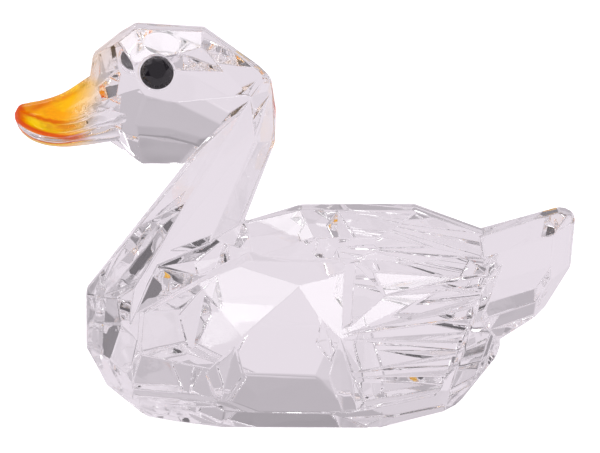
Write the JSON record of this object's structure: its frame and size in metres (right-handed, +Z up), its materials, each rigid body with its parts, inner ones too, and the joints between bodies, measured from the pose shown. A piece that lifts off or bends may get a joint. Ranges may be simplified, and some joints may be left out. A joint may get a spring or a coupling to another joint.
{
  "type": "duck figurine",
  "caption": "Clear faceted duck figurine with raised wings, an upturned tail, an amber-stained bill and black stone eyes, standing on a flat underside.",
  "frame": {"origin": "centre of the bounding box's bottom face, on the plane that the duck stands on", "axes": "+Z up, +X toward the tail, so the bill points along -X, and -Y is the duck's left side, which faces the camera in the picture"},
  "size_m": [0.0796, 0.0356, 0.0559],
  "materials": {
    "crystal": "polished clear",
    "eye": "polished"
  },
  "bodies": {
    "root": {"crystal_duck": "crystal", "left_eye": "eye", "right_eye": "eye"}
  },
  "joints": []
}
